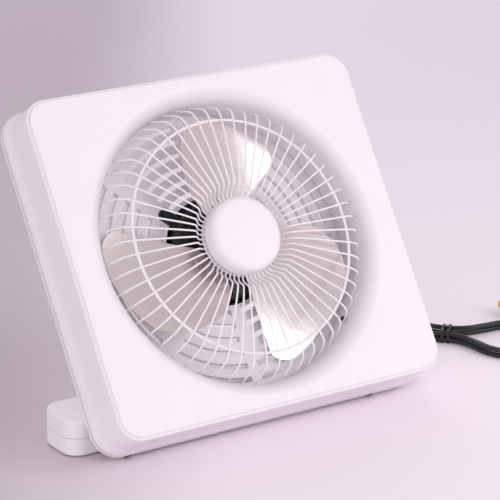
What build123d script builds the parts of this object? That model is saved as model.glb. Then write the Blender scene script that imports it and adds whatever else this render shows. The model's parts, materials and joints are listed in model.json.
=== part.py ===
from build123d import *
import math
import os

# Portable box-shaped table fan. The square head leans back on a low stand, hinged along its lower rear edge.
# The head is drawn lying on its back: X to the right, Y up the face, Z out of the face, 0 on the front face.
# It is then leaned back and set on the hinge. The stand is drawn in place: Z up from the floor, front towards -Y.

# Head, outside
face_w = 350.0
face_h = 319.0
face_corner_r = 22.0
face_edge_r = 3.0
cover_wall = 2.5
cover_depth = 49.0
flare_start = 32.0
flare_end = 45.5
flare_out = 3.3
seam = 1.5
casing_depth = 56.3
casing_out = 3.8
casing_edge_r = 3.0
casing_wall = 2.5
lip_height = 3.5
lip_wall = 1.6
lip_gap = 0.3
lean = 32.7

# Opening of the front cover
duct_r = 134.5
mouth_flare = 15.5
mouth_r = duct_r + mouth_flare
mouth_depth = 22.0
duct_end = 44.0

# Rear grille
grille_front = 45.0
grille_deep = 6.0
slot_outer_r = 126.3
slot_w = 5.0
rib_w = 7.93
slot_rings = 6
arm_narrow = 10.0
arm_wide = 18.0

# Wire guard
guard_wires = 56
wire_d = 1.8
wire_phase = 5.2
guard_ring_r = 111.3
guard_ring_d = 2.8
guard_plate_r = 33.0
guard_plate_t = 1.2
wire_root_w = -1.0
wire_crown_w = 11.0
wire_tail_w = -21.0
wire_tip_gap = 1.0

# Hub cap
cap_r = 36.0
cap_height = 16.5
cap_edge_r = 3.0
cap_wall = 2.2
cap_back_t = 4.9
clamp_gap = 0.1
cap_screw_r = 1.5

# Blades
blade_count = 3
blade_tip_r = 121.5
blade_t = 0.8
blade_mid_angle = -38.0
blade_arc_r = 225.0
blade_arc_across = -81.6
blade_arc_low = 39.0
arm_sheet_t = 1.5
sheet_gap = 0.05
rivet_r = 2.0
rivet_seat = 0.08

# Motor and shaft
shaft_r = 4.0
shaft_front = 9.0
shaft_back = 76.0
run_gap = 0.05
motor_r = 48.0
motor_front = 38.0
motor_split = 58.0
motor_back = 78.0
motor_wall = 2.0
bush_r = 8.0
bush_len = 5.0
stator_front = 50.0
stator_back = 66.0
stator_bore_r = 20.0
air_gap = 0.4
teeth = 8
through_r = 1.5
through_pitch_r = 42.0
ear_pitch_r = 61.0
ear_r = 6.0
ear_t = 2.5
cup_gap = 1.5

# Fasteners
screw_r = 1.5
screw_head_r = 3.6
screw_head_t = 2.4
hole_gap = 0.1
boss_r = 5.0
boss_inset_x = 20.0
boss_inset_y = 31.0

# Hinge and the feet under the head
axis_h = 18.0
foot_lift = 0.8
foot_left_x = -148.0
foot_right_x = 118.0
foot_w = 16.0
pad_w = 6.0
pad_depth = 5.0
hinge_x = 80.0
hinge_arm_w = 12.0
hinge_eye_r = 7.0
hinge_arm_half = 6.0
hinge_pin_r = 2.5
cheek_w = 5.5
side_gap = 0.3

# Stand
stand_w = 386.0
stand_d = 54.6
stand_top = 36.0
stand_corner_r = 16.0
stand_edge_r = 4.0
stand_foot_edge_r = 1.5
stand_wall = 2.5
stand_seam_gap = 0.4
stand_lift = 1.5
stop_gap = 0.15
pad_r = 7.0
pad_inset = 14.0
weight_w = 210.0
weight_d = 40.0
weight_t = 8.0
weight_x = -45.0

# Speed control
knob_inset = 27.0
knob_x = stand_w / 2 - knob_inset
knob_r = 14.0
knob_h = 13.0
knob_lift = 0.6
knob_flutes = 12
bush_thread_r = 4.5
spindle_r = 3.0
switch_size = 23.0
switch_h = 12.0

# Mains cord
cord_d = 5.0
cord_floor = 0.1
relief_len = 28.0
relief_root_r = 5.2
relief_tip_r = 3.5
relief_z = 9.8
hank_x = 275.0
hank_y = 76.0
hank_turn = -45.0
lobe_r = 42.0
waist_r = 45.0
waist_half = 3.0
hank_step = 5.9
hank_layer = 5.7
hank_tail = 30.0
tie_t = 0.9
tie_w = 3.0
tie_gap = 0.25
hank_turns = 2.5
start_angle = 225.0
plug_w = 24.0
plug_h = 15.6
plug_len = 30.0
plug_neck = 10.0

tilt = math.radians(lean)
os.makedirs("parts", exist_ok=True)


def region(*curves):
    return make_face(Curve() + list(curves))


def spun(profile):
    # A profile drawn as (radius, height) turned about the Z axis.
    return revolve(Plane.XZ * profile, Axis.Z)


def tube_z(r, low, high, hole=0.0):
    ring = Circle(r) - Circle(hole) if hole else Circle(r)
    return Pos(0, 0, low) * extrude(ring, high - low)


def tube_x(r, length, hole=0.0):
    ring = Circle(r) - Circle(hole) if hole else Circle(r)
    return Rot(0, 90, 0) * extrude(ring, length / 2, both=True)


def block(x0, x1, y0, y1, z0, z1):
    return Pos((x0 + x1) / 2, (y0 + y1) / 2, (z0 + z1) / 2) * Box(x1 - x0, y1 - y0, z1 - z0)


def round_bar(points, radius, sides):
    # A straight-sided bar with a many-sided section, mitred at its points.
    path = Polyline(*points)
    section = Plane(origin=path @ 0, z_dir=path % 0) * RegularPolygon(radius, sides)
    return sweep(section, path=path, transition=Transition.RIGHT)


def side_wall(profile):
    # A profile drawn as (outwards, backwards) from the edge of the face, swept round the face's outline.
    outline = RectangleRounded(face_w, face_h, face_corner_r).wire()
    start = outline @ 0
    along = outline % 0
    outward = along.cross(Vector(0, 0, 1))
    if outward.dot(start) < 0:
        outward = outward * -1
    at = Plane(origin=start, x_dir=outward, z_dir=outward.cross(Vector(0, 0, -1)))
    return sweep(at * profile, path=outline)


def four(x, y):
    return [(sx * x, sy * y) for sx in (-1, 1) for sy in (-1, 1)]


screw_places = four(face_w / 2 - boss_inset_x, face_h / 2 - boss_inset_y)

# Hinge axis, in the frame of the head: as high over the head's underside as over the floor.
axis_v = -(face_h / 2 + casing_out + foot_lift - axis_h)
axis_back = (axis_h - foot_lift) * math.tan(tilt / 2)
axis_w = -casing_depth + axis_back


# Front cover
def front_cover():
    inside_flare = flare_out - cover_wall
    lead = 0.4
    bend = ((lead + flare_out) / 2 - 0.7, (flare_start + flare_end) / 2 + 0.7)
    rim = 6.0
    profile = region(
        Line((-rim, 0), (-face_edge_r, 0)),
        RadiusArc((-face_edge_r, 0), (0, face_edge_r), face_edge_r),
        Line((0, face_edge_r), (lead, flare_start)),
        ThreePointArc((lead, flare_start), bend, (flare_out, flare_end)),
        Line((flare_out, flare_end), (flare_out, cover_depth)),
        Line((flare_out, cover_depth), (inside_flare, cover_depth)),
        Line((inside_flare, cover_depth), (inside_flare, flare_end)),
        ThreePointArc(
            (inside_flare, flare_end),
            (bend[0] - cover_wall, bend[1]),
            (lead - cover_wall, flare_start),
        ),
        Line((lead - cover_wall, flare_start), (-cover_wall, cover_wall)),
        Line((-cover_wall, cover_wall), (-rim, cover_wall)),
        Line((-rim, cover_wall), (-rim, 0)),
    )
    walls = side_wall(profile)
    inset = rim - 1.0
    plate = RectangleRounded(face_w - 2 * inset, face_h - 2 * inset, face_corner_r - inset)
    flange = 3.0
    plate = Pos(0, 0, -cover_wall) * extrude(plate - Circle(mouth_r + flange - 1.0), cover_wall)
    mouth = spun(
        region(
            EllipticalCenterArc((mouth_r, -mouth_depth), mouth_r - duct_r, mouth_depth, 90, arc_size=90),
            Line((duct_r, -mouth_depth), (duct_r, -duct_end)),
            Line((duct_r, -duct_end), (duct_r + cover_wall, -duct_end)),
            Line((duct_r + cover_wall, -duct_end), (duct_r + cover_wall, -mouth_depth)),
            EllipticalCenterArc(
                (mouth_r, -mouth_depth),
                mouth_r - duct_r - cover_wall,
                mouth_depth - cover_wall,
                90,
                arc_size=90,
            ),
            Line((mouth_r, -cover_wall), (mouth_r + flange, -cover_wall)),
            Line((mouth_r + flange, -cover_wall), (mouth_r + flange, 0)),
            Line((mouth_r + flange, 0), (mouth_r, 0)),
        )
    )
    cover = walls + plate + mouth
    for x, y in screw_places:
        cover += Pos(x, y, 0) * tube_z(boss_r, -cover_depth + 0.3, -cover_wall / 2)
    for x, y in screw_places:
        cover -= Pos(x, y, 0) * tube_z(screw_r + hole_gap, -cover_depth, -cover_depth + 24.0)
    return cover


# Rear casing with its grille, motor cup, hinge pockets and feet
cup_r = motor_r + 4.5
cup_back = motor_back + cup_gap
wall_ring_r = duct_r + cover_wall


def grille_slots():
    slots = Sketch()
    for k in range(slot_rings):
        outer = slot_outer_r - k * (slot_w + rib_w)
        slots += Circle(outer) - Circle(outer - slot_w)
    arms = [Rot(0, 0, 90 * k) * Rectangle(2 * slot_outer_r + 10, arm_narrow) for k in range(2)]
    arms += [Rot(0, 0, 45 + 90 * k) * Rectangle(2 * slot_outer_r + 10, arm_wide) for k in range(2)]
    return slots - arms


def foot_sector(radius, inner, first, last, width, x):
    # A slice of a disc about the hinge axis. Angles run from straight below the head towards its back.
    spots = []
    for angle in (first, (first + last) / 2, last):
        a = math.radians(angle)
        spots.append((-math.cos(a), -math.sin(a)))
    a, m, b = spots
    face = region(
        ThreePointArc(*[(radius * p[0], radius * p[1]) for p in spots]),
        Line((radius * b[0], radius * b[1]), (inner * b[0], inner * b[1])),
        ThreePointArc(*[(inner * p[0], inner * p[1]) for p in (b, m, a)]),
        Line((inner * a[0], inner * a[1]), (radius * a[0], radius * a[1])),
    )
    at = Plane(origin=(x - width / 2, axis_v, axis_w), x_dir=(0, 1, 0), z_dir=(1, 0, 0))
    return extrude(at * face, width)


def rear_casing():
    lip_top = cover_depth - lip_height + seam
    lip_out = flare_out - cover_wall - lip_gap
    lip_in = lip_out - lip_wall
    land = 5.0
    inner = casing_depth - casing_wall
    profile = region(
        Line((lip_out, lip_top), (lip_out, cover_depth + seam)),
        Line((lip_out, cover_depth + seam), (casing_out, cover_depth + seam)),
        Line((casing_out, cover_depth + seam), (casing_out, casing_depth - casing_edge_r)),
        RadiusArc(
            (casing_out, casing_depth - casing_edge_r),
            (casing_out - casing_edge_r, casing_depth),
            casing_edge_r,
        ),
        Line((casing_out - casing_edge_r, casing_depth), (-land, casing_depth)),
        Line((-land, casing_depth), (-land, inner)),
        Line((-land, inner), (lip_in, inner)),
        Line((lip_in, inner), (lip_in, lip_top)),
        Line((lip_in, lip_top), (lip_out, lip_top)),
    )
    casing = side_wall(profile)
    inset = land - 1.0
    plate = RectangleRounded(face_w - 2 * inset, face_h - 2 * inset, face_corner_r - inset)
    plate -= Circle(wall_ring_r + 1.0)
    casing += Pos(0, 0, -casing_depth) * extrude(plate, casing_wall)
    casing += tube_z(wall_ring_r + casing_wall, -casing_depth, -grille_front, wall_ring_r)
    grille = Circle(wall_ring_r + casing_wall) - Circle(cup_r) - grille_slots()
    casing += Pos(0, 0, -grille_front - grille_deep) * extrude(grille, grille_deep)
    cup = tube_z(cup_r + casing_wall, -cup_back - casing_wall, -grille_front, cup_r)
    cup += tube_z(cup_r + casing_wall, -cup_back - casing_wall, -cup_back)
    casing += cup
    for x, y in screw_places:
        casing += Pos(x, y, 0) * tube_z(boss_r, -casing_depth, -cover_depth - 0.1)
    for x, y in screw_places:
        casing -= Pos(x, y, 0) * tube_z(screw_r + 2 * hole_gap, -casing_depth, -cover_depth)
        casing -= Pos(x, y, 0) * tube_z(screw_head_r + 2 * hole_gap, -casing_depth, -inner)
    for k in range(4):
        at = Rot(0, 0, 45 + 90 * k) * Pos(ear_pitch_r, 0, 0)
        casing -= at * tube_z(screw_r + hole_gap, -grille_front - grille_deep, -grille_front)
    for x in (foot_left_x, foot_right_x):
        heel = axis_h - foot_lift
        casing += foot_sector(heel, 8.0, 1.0, 42.0, foot_w, x)
        casing -= foot_sector(heel + 1.0, axis_h - pad_depth - 0.1, -1.0, 38.0, pad_w + 0.2, x)
    for x in (-hinge_x, hinge_x):
        half = hinge_arm_w / 2 + side_gap
        reach = hinge_eye_r + 0.5
        rise = axis_back * math.tan(tilt) + (hinge_arm_half + side_gap) / math.cos(tilt)
        casing += block(
            x - half - cheek_w,
            x + half + cheek_w,
            axis_v - reach - 2.5,
            axis_v + rise + 3.5,
            -inner - 0.5,
            axis_w + reach + 2.5,
        )
        casing -= block(
            x - half,
            x + half,
            axis_v - reach,
            axis_v + rise + 0.5,
            -casing_depth - 1.0,
            axis_w + reach,
        )
        casing -= Pos(x, axis_v, axis_w) * tube_x(hinge_pin_r + run_gap, 2 * (half + cheek_w) + 2)
    return casing


def foot_pads():
    pads = []
    for x in (foot_left_x, foot_right_x):
        pads.append(foot_sector(axis_h, axis_h - pad_depth, 0.0, 37.0, pad_w, x))
    return pads


def hinge_pins():
    length = hinge_arm_w + 2 * side_gap + 2 * cheek_w - 1.0
    return [Pos(x, axis_v, axis_w) * tube_x(hinge_pin_r, length) for x in (-hinge_x, hinge_x)]


# Wire guard
def guard():
    top = wire_crown_w
    spots = [
        (guard_plate_r - 3.0, wire_root_w),
        (41.0, wire_root_w),
        (45.5, top - 7.0),
        (50.0, top),
        (guard_ring_r + 1.7, top - 2.5),
        (122.0, top - 5.5),
        (126.5, top - 13.0),
        (duct_r - wire_tip_gap, wire_tail_w),
    ]
    wire = round_bar([(r, 0, w) for r, w in spots], wire_d / 2, 6)
    wires = [Rot(0, 0, wire_phase + 360 / guard_wires * k) * wire for k in range(guard_wires)]
    ring_w = top - 2.4 - (wire_d + guard_ring_d) / 2 + 0.35
    hexagon = Pos(guard_ring_r, ring_w) * Rot(0, 0, 30) * RegularPolygon(guard_ring_d / 2, 6)
    ring = spun(hexagon)
    plate = tube_z(guard_plate_r, wire_root_w - guard_plate_t / 2, wire_root_w + guard_plate_t / 2, 3.0)
    return plate.fuse(ring, *wires)


# Hub cap, in two halves that clamp the wires
cap_low = wire_root_w + wire_d / 2 + clamp_gap
back_top = wire_root_w - wire_d / 2 - clamp_gap


def hub_cap():
    post_r = 5.0
    cap = tube_z(cap_r, cap_low, cap_height)
    cap = fillet(cap.edges().group_by(Axis.Z)[-1], cap_edge_r)
    cap -= tube_z(cap_r - cap_wall, cap_low, cap_height - cap_wall, post_r)
    return cap - tube_z(cap_screw_r + run_gap, cap_low, cap_low + 10.0)


def hub_cap_backing():
    disc = tube_z(cap_r, back_top - cap_back_t, back_top, cap_screw_r + hole_gap)
    disc = fillet(disc.edges().group_by(Axis.Z)[0].filter_by(GeomType.CIRCLE).sort_by(Edge.length)[-1], 1.5)
    recess = tube_z(screw_head_r + hole_gap, back_top - cap_back_t, back_top - cap_back_t + screw_head_t)
    return disc - recess


def hub_cap_screw():
    low = back_top - cap_back_t
    return tube_z(screw_head_r, low, low + screw_head_t) + tube_z(cap_screw_r, low, cap_low + 9.0)


# Blades: one bent sheet each, cut to a petal
def sheet_height(across, offset=0.0):
    # Height of the bent sheet at a distance across the blade, or of a sheet that lies behind it.
    r = blade_arc_r + offset
    return blade_arc_r - blade_arc_low - math.sqrt(r * r - (across - blade_arc_across) ** 2)


def bent_strip(front_offset, thickness, first, last, reach0, reach1):
    # Strip between two arcs about one centre, drawn across the blade and run out along it.
    arcs = []
    for offset in (front_offset, front_offset + thickness):
        arcs.append([(across, sheet_height(across, offset)) for across in (first, (first + last) / 2, last)])
    near, far = arcs
    face = region(
        ThreePointArc(*near),
        Line(near[2], far[2]),
        ThreePointArc(far[2], far[1], far[0]),
        Line(far[0], near[0]),
    )
    at = Plane(origin=(reach0, 0, 0), x_dir=(0, 1, 0), z_dir=(1, 0, 0))
    return extrude(at * face, reach1 - reach0)


def petal():
    tip = blade_tip_r
    front_tip = (tip * math.cos(math.radians(10)), tip * math.sin(math.radians(10)))
    back_tip = (tip * math.cos(math.radians(-30)), tip * math.sin(math.radians(-30)))
    front_belly = (78.0, 45.5)
    back_belly = (80.0, -71.5)
    front_root = (26.0, 19.0)
    back_root = (26.0, -14.0)
    return region(
        ThreePointArc(back_tip, (tip * math.cos(math.radians(-10)), -tip * math.sin(math.radians(10))), front_tip),
        ThreePointArc(front_tip, (106.0, 35.5), front_belly),
        ThreePointArc(front_belly, (50.0, 42.0), front_root),
        Line(front_root, back_root),
        ThreePointArc(back_root, (52.0, -41.0), back_belly),
        ThreePointArc(back_belly, (96.0, -70.5), back_tip),
    )


rivet_spots = [(34.0, 9.0), (34.0, -5.0), (45.0, 2.0)]


def along_blade(k):
    return Rot(0, 0, blade_mid_angle + 120 * k)


def square_to_sheet(x, y):
    # On the front of the bent sheet, upright to it.
    slope = math.degrees(math.asin((y - blade_arc_across) / blade_arc_r))
    return Pos(x, y, sheet_height(y)) * Rot(slope, 0, 0)


def fan_blade(k):
    sheet = bent_strip(0.0, blade_t, -80.0, 50.0, 20.0, blade_tip_r + 2.0)
    blade = sheet & Pos(0, 0, -60) * extrude(petal(), 80)
    for x, y in rivet_spots:
        blade -= square_to_sheet(x, y) * tube_z(rivet_r + run_gap, -6, 6)
    return along_blade(k) * blade


hub_front = 14.0
hub_back = 33.0


def blade_hub():
    hub = tube_z(14.0, -hub_back, -hub_front)
    for k in range(blade_count):
        outline = Pos(29.0, 2.0) * RectangleRounded(46.0, 26.0, 8.0)
        arm = bent_strip(blade_t + sheet_gap, arm_sheet_t, -20.0, 24.0, 4.0, 54.0)
        arm = arm & Pos(0, 0, -60) * extrude(outline, 60)
        for x, y in rivet_spots:
            arm -= square_to_sheet(x, y) * tube_z(rivet_r + run_gap, -6, 6)
        hub += along_blade(k) * arm
    return hub - tube_z(shaft_r + 0.03, -hub_back, -hub_front)


def blade_rivets():
    stack = blade_t + sheet_gap + arm_sheet_t
    rivet = tube_z(rivet_r, -stack - 1.0, 1.0)
    rivet += tube_z(rivet_r + 1.6, rivet_seat, rivet_seat + 1.2)
    rivet += tube_z(rivet_r + 1.2, -stack - rivet_seat - 0.9, -stack - rivet_seat)
    places = [along_blade(k) * square_to_sheet(x, y) for k in range(blade_count) for x, y in rivet_spots]
    return [place * rivet for place in places]


def blade_nut():
    nut = Pos(0, 0, -hub_front) * extrude(RegularPolygon(7.0, 6), hub_front - shaft_front - 0.5)
    return nut - tube_z(shaft_r + 0.03, -hub_front, 0)


# Motor
def motor_shaft():
    return tube_z(shaft_r, -shaft_back, -shaft_front)


def rotor_core():
    r = stator_bore_r - air_gap
    core = tube_z(r, -stator_back, -stator_front)
    core += tube_z(r - 1.5, -stator_back - 3.0, -stator_front + 3.0)
    return core - tube_z(shaft_r + 0.03, -stator_back - 3.0, -stator_front + 3.0)


def tooth_places():
    return [Rot(0, 0, 360 / teeth * (k + 0.5)) for k in range(teeth)]


def stator_core():
    outer = motor_r - motor_wall - 0.1
    ring = Circle(outer) - Circle(outer - 7.9)
    for place in tooth_places():
        ring += place * Pos((stator_bore_r + outer - 6) / 2, 0) * Rectangle(outer - 6 - stator_bore_r, 6.0)
        ring += place * Pos(stator_bore_r + 1.6, 0) * Rectangle(3.0, 13.0)
    ring -= Circle(stator_bore_r)
    for k in range(4):
        ring -= Rot(0, 0, 90 * k) * Pos(through_pitch_r, 0) * Circle(through_r + hole_gap)
    return Pos(0, 0, -stator_back) * extrude(ring, stator_back - stator_front)


def stator_windings():
    gap = 0.3
    overhang = 4.0
    inner = stator_bore_r + 3.4
    outer = motor_r - motor_wall - 8.4
    coils = []
    for place in tooth_places():
        tall = stator_back - stator_front
        coil = Box(outer - inner, 13.0, tall + 2 * (overhang + gap))
        coil = fillet(coil.edges().filter_by(Axis.X), 2.5)
        coil -= Box(outer - inner + 1, 6.0 + 2 * gap, tall + 2 * gap)
        coils.append(place * Pos((inner + outer) / 2, 0, -(stator_front + stator_back) / 2) * coil)
    return coils


def motor_shell(front):
    # One half of the motor's housing, with its bearing seat, drawn as (radius, height above the split).
    tall = motor_split - motor_front if front else motor_back - motor_split
    seat = 2.5 if front else 0.5
    edge = 6.0
    bore = shaft_r + 0.8
    shell = spun(
        region(
            Line((motor_r, 0), (motor_r, tall - edge)),
            RadiusArc((motor_r, tall - edge), (motor_r - edge, tall), -edge),
            Line((motor_r - edge, tall), (bush_r + 4.0, tall)),
            Line((bush_r + 4.0, tall), (bush_r + 4.0, tall + seat)),
            Line((bush_r + 4.0, tall + seat), (bore, tall + seat)),
            Line((bore, tall + seat), (bore, tall - 3.0 + seat)),
            Line((bore, tall - 3.0 + seat), (bush_r + hole_gap, tall - 3.0 + seat)),
            Line((bush_r + hole_gap, tall - 3.0 + seat), (bush_r + hole_gap, tall - 8.0 + seat)),
            Line((bush_r + hole_gap, tall - 8.0 + seat), (bush_r + 4.0, tall - 8.0 + seat)),
            Line((bush_r + 4.0, tall - 8.0 + seat), (bush_r + 4.0, tall - motor_wall)),
            Line((bush_r + 4.0, tall - motor_wall), (motor_r - edge, tall - motor_wall)),
            RadiusArc(
                (motor_r - edge, tall - motor_wall),
                (motor_r - motor_wall, tall - edge),
                edge - motor_wall,
            ),
            Line((motor_r - motor_wall, tall - edge), (motor_r - motor_wall, 0)),
            Line((motor_r - motor_wall, 0), (motor_r, 0)),
        )
    )
    for k in range(4):
        at = Rot(0, 0, 90 * k) * Pos(through_pitch_r, 0, 0)
        shell -= at * tube_z(through_r + hole_gap, 0, tall + 1)
    return shell


def motor_front_housing():
    shell = Pos(0, 0, -motor_split) * motor_shell(True)
    for k in range(4):
        at = Rot(0, 0, 45 + 90 * k)
        ear = Pos(ear_pitch_r, 0) * Circle(ear_r)
        ear += Pos((motor_r + ear_pitch_r) / 2, 0) * Rectangle(ear_pitch_r - motor_r + 2, 2 * ear_r)
        ear -= Circle(motor_r - 1.0)
        ear -= Pos(ear_pitch_r, 0) * Circle(screw_r + hole_gap)
        shell += at * Pos(0, 0, -grille_front) * extrude(ear, ear_t)
    return shell


def motor_rear_housing():
    return Pos(0, 0, -motor_split) * Rot(180, 0, 0) * motor_shell(False)


def bushes():
    front_top = motor_front - 2.5 + 3.0 + 0.1
    front = tube_z(bush_r, -front_top - bush_len, -front_top, shaft_r + run_gap)
    rear_low = motor_back + 0.5 - 3.0 - 0.1
    rear = tube_z(bush_r, -rear_low, -rear_low + bush_len, shaft_r + run_gap)
    return front, rear


def through_bolts():
    bolts = []
    for k in range(4):
        bolt = tube_z(through_r, -motor_back + 1.0, -motor_front + 0.5)
        bolt += tube_z(through_r + 1.2, -motor_front + 0.1, -motor_front + 2.0)
        bolts.append(Rot(0, 0, 90 * k) * Pos(through_pitch_r, 0, 0) * bolt)
    return bolts


def motor_mount_screws():
    top = -grille_front + ear_t
    screw = tube_z(screw_head_r, top + 0.05, top + screw_head_t) + tube_z(screw_r, top - 8.0, top + 1.0)
    return [Rot(0, 0, 45 + 90 * k) * Pos(ear_pitch_r, 0, 0) * screw for k in range(4)]


def casing_screws():
    low = -casing_depth + casing_wall - screw_head_t - 0.05
    screw = tube_z(screw_head_r, low, low + screw_head_t) + tube_z(screw_r, low, -cover_depth + 18.0)
    return [Pos(x, y, 0) * screw for x, y in screw_places]


# Stand, drawn with the hinge axis at Y 0 and height axis_h
reach_top = stand_top - stand_edge_r - axis_h
stand_front = (stand_edge_r + stop_gap + axis_back + math.sin(tilt) * reach_top) / math.cos(tilt) - stand_edge_r
stand_back = stand_front + stand_d
stand_mid = (stand_front + stand_back) / 2
stand_split = axis_h


def stand_form(inset, low, high, top_r, low_r):
    corner = stand_corner_r - inset
    plan = RectangleRounded(stand_w - 2 * inset, stand_d - 2 * inset, corner)
    form = Pos(0, stand_mid, low) * extrude(plan, high - low)
    form = fillet(form.edges().group_by(Axis.Z)[-1], top_r)
    return fillet(form.edges().group_by(Axis.Z)[0], low_r)


def stand_shell():
    outer = stand_form(0.0, stand_lift, stand_top, stand_edge_r, stand_foot_edge_r)
    inner = stand_form(stand_wall, stand_lift + stand_wall, stand_top - stand_wall, 1.5, 0.5)
    return outer - inner


def stand_half(low, high):
    return block(-stand_w, stand_w, stand_front - 5, stand_back + 5, low, high)


end_screw_inset = 18.0
middle_screw_x = -20.0
knob_to_screw = 46.0
stand_screw_x = (end_screw_inset - stand_w / 2, middle_screw_x, knob_x - knob_to_screw)
stand_screw_places = [(x, stand_mid) for x in stand_screw_x]
flange_y = stand_front + stand_wall + 0.1
flange_t = 5.0


def notch(x):
    half = hinge_arm_w / 2 + side_gap
    tall = hinge_arm_half + side_gap
    return block(x - half, x + half, stand_front - 1, stand_front + stand_wall + 2.5, axis_h - tall, axis_h + tall)


def stand_upper_shell():
    shell = stand_shell() & stand_half(stand_split + stand_seam_gap / 2, stand_top + 1)
    gap = stand_wall + 0.2
    lip = RectangleRounded(stand_w - 2 * gap, stand_d - 2 * gap, stand_corner_r - gap)
    lip -= RectangleRounded(stand_w - 2 * gap - 3.0, stand_d - 2 * gap - 3.0, stand_corner_r - gap - 1.5)
    skirt = extrude(lip, 5.0)
    link = RectangleRounded(stand_w - 4.0, stand_d - 4.0, stand_corner_r - 2.0)
    link -= RectangleRounded(stand_w - 2 * gap - 3.0, stand_d - 2 * gap - 3.0, stand_corner_r - gap - 1.5)
    shell += Pos(0, stand_mid, stand_split - 2.0) * skirt
    shell += Pos(0, stand_mid, stand_split + 1.0) * extrude(link, 2.0)
    for x in (-hinge_x, hinge_x):
        shell -= notch(x)
        room = 0.3
        shell -= block(
            x - 8.5 - room,
            x + 8.5 + room,
            stand_front + stand_wall,
            flange_y + flange_t + room,
            stand_split - 3.0,
            axis_h + 9.0 + room,
        )
    for x, y in stand_screw_places:
        shell += Pos(x, y, 0) * tube_z(boss_r - 1.0, stand_split, stand_top - stand_wall + 0.5)
        shell -= Pos(x, y, 0) * tube_z(screw_r + hole_gap, stand_split, stand_top - 8.0)
    return shell - Pos(knob_x, stand_mid, 0) * tube_z(bush_thread_r + 0.2, stand_split, stand_top + 1)


def stand_lower_shell():
    shell = stand_shell() & stand_half(0, stand_split - stand_seam_gap / 2)
    floor = stand_lift + stand_wall
    for x in (-hinge_x, hinge_x):
        shell -= notch(x)
        rib = flange_y + flange_t + 0.1
        shell += block(x - 9, x + 9, rib, rib + 2.0, floor - 0.5, stand_split - 3.0)
    for x, y in stand_screw_places:
        shell += Pos(x, y, 0) * tube_z(boss_r, floor - 0.5, stand_split - 0.1)
        shell -= Pos(x, y, 0) * tube_z(screw_r + 2 * hole_gap, 0, stand_split)
        shell -= Pos(x, y, 0) * tube_z(screw_head_r + 2 * hole_gap, 0, floor + 2.0)
    for x, y in pad_places:
        shell -= Pos(x, y, 0) * tube_z(pad_r + 0.1, 0, stand_lift + 0.8)
    return shell - Pos(relief_x, 0, relief_z) * Rot(-90, 0, 0) * tube_z(relief_neck_r + 0.1, stand_back - 9, stand_back + 1)


pad_places = [(x, y) for x in (-(stand_w / 2 - pad_inset), stand_w / 2 - pad_inset)
              for y in (stand_front + pad_inset, stand_back - pad_inset)]


def stand_pads():
    return [Pos(x, y, 0) * tube_z(pad_r, 0, stand_lift + 0.75) for x, y in pad_places]


def stand_screws():
    low = stand_lift + stand_wall + 2.0 - screw_head_t
    screw = tube_z(screw_head_r, low - 0.05, low + screw_head_t - 0.05)
    screw += tube_z(screw_r, low, stand_top - 10.0)
    return [Pos(x, y, 0) * screw for x, y in stand_screw_places]


def stand_weight():
    low = stand_lift + stand_wall + 0.05
    plate = block(
        weight_x - weight_w / 2,
        weight_x + weight_w / 2,
        stand_mid - weight_d / 2 + 3.0,
        stand_mid + weight_d / 2 + 3.0,
        low,
        low + weight_t,
    )
    for x, y in stand_screw_places:
        plate -= Pos(x, y, 0) * tube_z(boss_r + 0.3, 0, stand_split)
    for x in (-hinge_x, hinge_x):
        plate -= block(x - 9.5, x + 9.5, 0, flange_y + flange_t + 2.6, 0, stand_split)
    return plate


def hinge_arms():
    arms = []
    for x in (-hinge_x, hinge_x):
        side = Circle(hinge_eye_r)
        reach = flange_y + flange_t
        side += Pos(reach / 2, 0) * Rectangle(reach, 2 * hinge_arm_half)
        side -= Circle(hinge_pin_r + run_gap)
        at = Plane(origin=(x - hinge_arm_w / 2, 0, axis_h), x_dir=(0, 1, 0), z_dir=(1, 0, 0))
        arm = extrude(at * side, hinge_arm_w)
        arm += block(x - 8.5, x + 8.5, flange_y, reach, axis_h - 9, axis_h + 9)
        arms.append(arm)
    return arms


def speed_switch():
    top = stand_top - stand_wall - 0.1
    body = block(
        knob_x - switch_size / 2,
        knob_x + switch_size / 2,
        stand_mid - switch_size / 2,
        stand_mid + switch_size / 2,
        top - switch_h,
        top,
    )
    body = fillet(body.edges().filter_by(Axis.Z), 2.0)
    body += Pos(knob_x, stand_mid, 0) * tube_z(bush_thread_r, top - 1.0, stand_top + 3.0)
    for k in range(3):
        body += block(
            knob_x - 7.5 + 6 * k,
            knob_x - 4.5 + 6 * k,
            stand_mid - 0.4,
            stand_mid + 0.4,
            top - switch_h - 5.0,
            top - switch_h + 0.5,
        )
    return body - Pos(knob_x, stand_mid, 0) * tube_z(spindle_r + run_gap, top - 8.0, stand_top + 4.0)


def switch_nut():
    nut = extrude(RegularPolygon(7.6, 6) - Circle(bush_thread_r + 0.05), 2.0)
    return Pos(knob_x, stand_mid, stand_top + 0.05) * nut


def speed_knob():
    low = stand_top + knob_lift
    grip = Circle(knob_r)
    for k in range(knob_flutes):
        grip -= Rot(0, 0, 360 / knob_flutes * (k + 0.5)) * Pos(knob_r + 1.6, 0) * Circle(2.6)
    knob = extrude(grip, knob_h)
    knob = chamfer(knob.edges().group_by(Axis.Z)[-1], 0.8)
    knob += tube_z(knob_r + 1.0, 0, 2.0)
    knob -= Pos(0, -knob_r / 2, knob_h) * Box(1.4, knob_r - 2, 1.0)
    knob -= tube_z(knob_r - 2.5, 0, 5.5)
    knob -= tube_z(spindle_r + 0.03, 0, knob_h - 2.5)
    return Pos(knob_x, stand_mid, low) * knob


def switch_spindle():
    return Pos(knob_x, stand_mid, 0) * tube_z(spindle_r, stand_top - stand_wall - 8.0, stand_top + knob_lift + knob_h - 2.6)


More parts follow.
